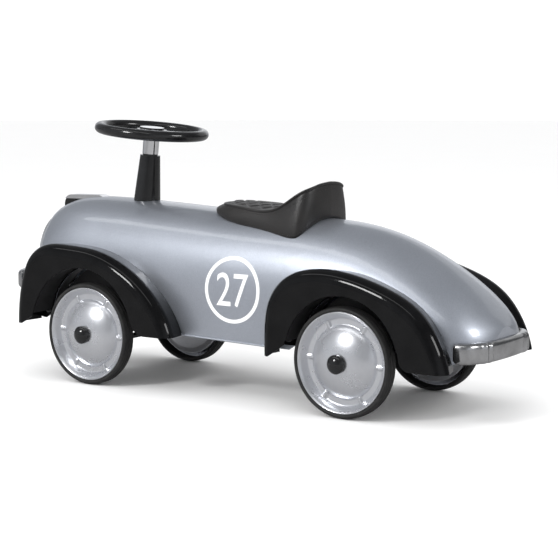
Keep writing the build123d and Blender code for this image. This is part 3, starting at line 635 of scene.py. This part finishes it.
for end, (arch_x, arch_r) in ARCHES.items():
    inner_r = arch_r + LINER_GAP
    outer_r = inner_r + LINER_THICK
    section = ((inner_r, LINER_OUTER_Y), (inner_r, LINER_INNER_Y),
               (outer_r, LINER_INNER_Y), (outer_r, LINER_OUTER_Y))
    for side_name, side in SIDES:
        marks = []
        for k in range(LINER_STEPS + 1):
            turn = LINER_FROM + (LINER_TO - LINER_FROM) * k / LINER_STEPS
            for radius, y in section:
                marks.append(Vector((arch_x + radius * math.cos(turn), side * y,
                                     ARCH_Z + radius * math.sin(turn))))
        faces = grid_faces(LINER_STEPS + 1, len(section), wrap_columns=True)
        faces += [tuple(range(4)), tuple(range(len(marks) - 4, len(marks)))]
        add_piece(f"arch_liner_{end}_{side_name}", marks, faces, "chassis", "black_steel", smooth=False)


# ---------------------------------------------------------------- rolled edges of the pressed sheets
LIP_R = 0.0012
LIP_DEGREES = range(14, 167, 8)
HEM_R = 0.0013
HEM_START_X, HEM_PITCH, HEM_POINTS = 0.060, 0.010, 15
HEM_LOOK_UP, HEM_OUT, HEM_LIFT = 0.002, 0.0002, 0.0006
TAIL_LENGTH = 0.374

for end, (arch_x, arch_r) in ARCHES.items():
    for side_name, side in SIDES:
        low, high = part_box(f"{end}_fender_{side_name}")
        y = side * (max(abs(low.y), abs(high.y)) - LIP_R)
        arc = [math.radians(a) for a in LIP_DEGREES]
        bead(f"{end}_fender_lip_{side_name}",
             [(arch_x + arch_r * math.cos(a), y, ARCH_Z + arch_r * math.sin(a)) for a in arc],
             LIP_R, "chassis", "fender_paint")


def hem_z(x):
    """Height of the body's lower edge."""
    return 0.0746 + 0.02 * x + 0.011 * (max(0.0, -x) / TAIL_LENGTH) ** 4


for side_name, side in SIDES:
    line = []
    for i in range(HEM_POINTS):
        x = HEM_START_X - HEM_PITCH * i
        spot = on_side(x, hem_z(x) + HEM_LOOK_UP, side)[0]
        line.append((x, spot.y + side * HEM_OUT, hem_z(x) + HEM_LIFT))
    bead(f"body_hem_{side_name}", line, HEM_R, "chassis", "body_paint")


# ---------------------------------------------------------------- painted numbers
NUMBER = "27"
DISC_X, DISC_Z = -0.0185, 0.1432
RING_R, RING_WIDTH = 0.0440, 0.0050
DIGIT_HEIGHT, DIGITS_WIDTH = 0.0440, 0.0500
PAINT_LIFT = 0.00018
RING_STEPS = 120
DIGIT_PITCH = 0.004


def on_paint(x, z, side):
    """Point just outside the body's skin."""
    spot, normal = on_side(x, z, side)
    return spot + normal * PAINT_LIFT


def cut_evenly(mesh, pitch):
    """Cut a flat mesh by a grid so that it can follow a curved skin."""
    made = bmesh.new()
    made.from_mesh(mesh)
    for axis in (0, 1):
        values = [v.co[axis] for v in made.verts]
        steps = int((max(values) - min(values)) / pitch)
        for i in range(1, steps + 1):
            where, way = Vector((0, 0, 0)), Vector((0, 0, 0))
            where[axis], way[axis] = min(values) + i * pitch, 1.0
            bmesh.ops.bisect_plane(made, geom=made.verts[:] + made.edges[:] + made.faces[:],
                                   plane_co=where, plane_no=way)
    made.to_mesh(mesh)
    made.free()


for side_name, side in SIDES:
    marks = []
    for radius in (RING_R, RING_R - RING_WIDTH / 2, RING_R - RING_WIDTH):
        for k in range(RING_STEPS):
            turn = math.tau * k / RING_STEPS
            marks.append(on_paint(DISC_X + radius * math.cos(turn),
                                  DISC_Z + radius * math.sin(turn), side))
    add_piece(f"number_ring_{side_name}", marks, grid_faces(3, RING_STEPS, wrap_columns=True),
              "chassis", "body_paint", number_paint)
    text = bpy.data.curves.new("digits", "FONT")
    text.body = NUMBER
    text.resolution_u = 12
    holder = bpy.data.objects.new("digits", text)
    scene.collection.objects.link(holder)
    bpy.context.view_layer.update()
    flat = bpy.data.meshes.new_from_object(holder.evaluated_get(bpy.context.evaluated_depsgraph_get()))
    bpy.data.objects.remove(holder)
    xs, ys = [v.co.x for v in flat.vertices], [v.co.y for v in flat.vertices]
    wide, tall = max(xs) - min(xs), max(ys) - min(ys)
    for v in flat.vertices:
        v.co = ((v.co.x - min(xs)) / wide - 0.5, (v.co.y - min(ys)) / tall - 0.5, 0)
        v.co = (v.co.x * DIGITS_WIDTH, v.co.y * DIGIT_HEIGHT, 0)
    cut_evenly(flat, DIGIT_PITCH)
    marks = [on_paint(DISC_X - side * v.co.x, DISC_Z + v.co.y, side) for v in flat.vertices]
    add_piece(f"number_digits_{side_name}", marks, [tuple(p.vertices) for p in flat.polygons],
              "chassis", "body_paint", number_paint)


# ---------------------------------------------------------------- floor, light, camera
FLOOR_R = 14.0
FLOOR_SIDES = 96
FLOOR_IN_GLOSS = (0.33, 0.33, 0.335, 1.0)
SKY_STRENGTH = 1.12
WALL_STRENGTH = 0.27

floor_mesh = bpy.data.meshes.new("floor")
turns = [math.tau * k / FLOOR_SIDES for k in range(FLOOR_SIDES)]
floor_mesh.from_pydata([(FLOOR_R * math.cos(t), FLOOR_R * math.sin(t), 0.0) for t in turns], [],
                       [tuple(range(FLOOR_SIDES))])
floor = bpy.data.objects.new("floor", floor_mesh)
scene.collection.objects.link(floor)
# Pale floor, which is darker where it is only seen in gloss.
ground = Paint("floor", Roughness=0.6, Specular_IOR_Level=0.2)
pale = ground.colours(ground.noise(3.0, 3.0), (0.94, 0.94, 0.94), (0.96, 0.96, 0.96))
seen = ground.node("ShaderNodeMix", data_type="RGBA")
ground.feed(seen.inputs["Factor"], ground.node("ShaderNodeLightPath").outputs["Is Glossy Ray"])
ground.feed(seen.inputs["A"], pale)
ground.feed(seen.inputs["B"], FLOOR_IN_GLOSS)
ground.set("Base Color", seen.outputs["Result"])
floor_mesh.materials.append(ground.material)
floor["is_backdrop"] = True


def softbox(name, place, target, size, power):
    """White area light at a place, turned to a target."""
    light = bpy.data.lights.new(name, "AREA")
    light.shape = "RECTANGLE"
    light.size, light.size_y = size
    light.energy = power
    lamp = bpy.data.objects.new(name, light)
    lamp.location = place
    lamp.rotation_euler = (Vector(target) - Vector(place)).to_track_quat("-Z", "Y").to_euler()
    scene.collection.objects.link(lamp)


softbox("strip", place=(0.5, 1.35, 2.6), target=(0.1, 0, 0.1), size=(4.0, 0.34), power=10.0)
softbox("key", place=(0.77, 2.40, 1.80), target=(0, 0, 0.1), size=(0.62, 0.56), power=36.0)
softbox("rear", place=(-2.8, -0.20, 1.6), target=(-0.2, 0, 0.1), size=(1.0, 0.8), power=26.0)
softbox("far", place=(0.4, -2.6, 1.2), target=(0, 0, 0.1), size=(3.6, 1.4), power=6.0)

world = bpy.data.worlds.new("studio")
scene.world = world
world.use_nodes = True
tree = world.node_tree


def sky(colour, strength):
    """Even background light."""
    made = tree.nodes.new("ShaderNodeBackground")
    made.inputs["Color"].default_value = (*colour, 1.0)
    made.inputs["Strength"].default_value = strength
    return made.outputs["Background"]


# White studio for the camera and for diffuse light, with dimmer walls for glossy rays.
path = tree.nodes.new("ShaderNodeLightPath")
mix = tree.nodes.new("ShaderNodeMixShader")
tree.links.new(path.outputs["Is Glossy Ray"], mix.inputs["Fac"])
tree.links.new(sky((1.0, 1.0, 1.0), SKY_STRENGTH), mix.inputs[1])
walls = sky((0.92, 0.95, 1.0), WALL_STRENGTH)
tree.links.new(walls, mix.inputs[2])
place = tree.nodes.new("ShaderNodeTexCoord")


def wall_glow(way, start, full, amount):
    """Strength added to the walls round one way, from the cosine start to the cosine full."""
    dot = tree.nodes.new("ShaderNodeVectorMath")
    dot.operation = "DOT_PRODUCT"
    tree.links.new(place.outputs["Generated"], dot.inputs[0])
    dot.inputs[1].default_value = way
    fade = tree.nodes.new("ShaderNodeMapRange")
    tree.links.new(dot.outputs["Value"], fade.inputs["Value"])
    for socket, value in (("From Min", start), ("From Max", full), ("To Min", 0.0), ("To Max", amount)):
        fade.inputs[socket].default_value = value
    return fade.outputs["Result"]


# Strength of the walls round four ways: (way, start, full, amount).
WALL_GLOWS = [
    ((0.565, -0.825, 0.0), 0.86, 0.89, 0.4),    # bright backdrop, beyond the car for the camera
    ((-0.95, 0.31, 0.0), 0.75, 0.97, 0.45),     # lit wall behind the tail
    ((-0.56, -0.82, 0.0), 0.5, 0.95, -0.16),    # dark corner behind, on the right
    ((0.56, 0.82, 0.0), 0.6, 0.98, 0.3),        # lit wall ahead, on the left
]
total = None
for glow in WALL_GLOWS:
    add = tree.nodes.new("ShaderNodeMath")
    tree.links.new(wall_glow(*glow), add.inputs[0])
    if total is None:
        add.inputs[1].default_value = WALL_STRENGTH
    else:
        tree.links.new(total, add.inputs[1])
    total = add.outputs[0]
tree.links.new(total, walls.node.inputs["Strength"])
tree.links.new(mix.outputs["Shader"], tree.nodes["World Output"].inputs["Surface"])
scene.view_settings.view_transform = "Standard"

CAMERA_PLACE = Vector((-1.26914, 1.79859, 0.41950))
CAMERA_WAY = Vector((0.560749, -0.818876, -0.122483))
LENS_MM, SENSOR_MM, LENS_SHIFT = 105.53, 36.0, -0.0038
lens = bpy.data.cameras.new("camera")
lens.lens = LENS_MM
lens.sensor_width = SENSOR_MM
lens.shift_x = LENS_SHIFT
camera = bpy.data.objects.new("camera", lens)
camera.location = CAMERA_PLACE
camera.rotation_euler = CAMERA_WAY.to_track_quat("-Z", "Y").to_euler()
scene.collection.objects.link(camera)
scene.camera = camera

boxes = {"cad": cad_box, "visual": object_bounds()}
plain = {key: [list(corner) if hasattr(corner, "__len__") else corner for corner in value]
         for key, value in boxes.items()}
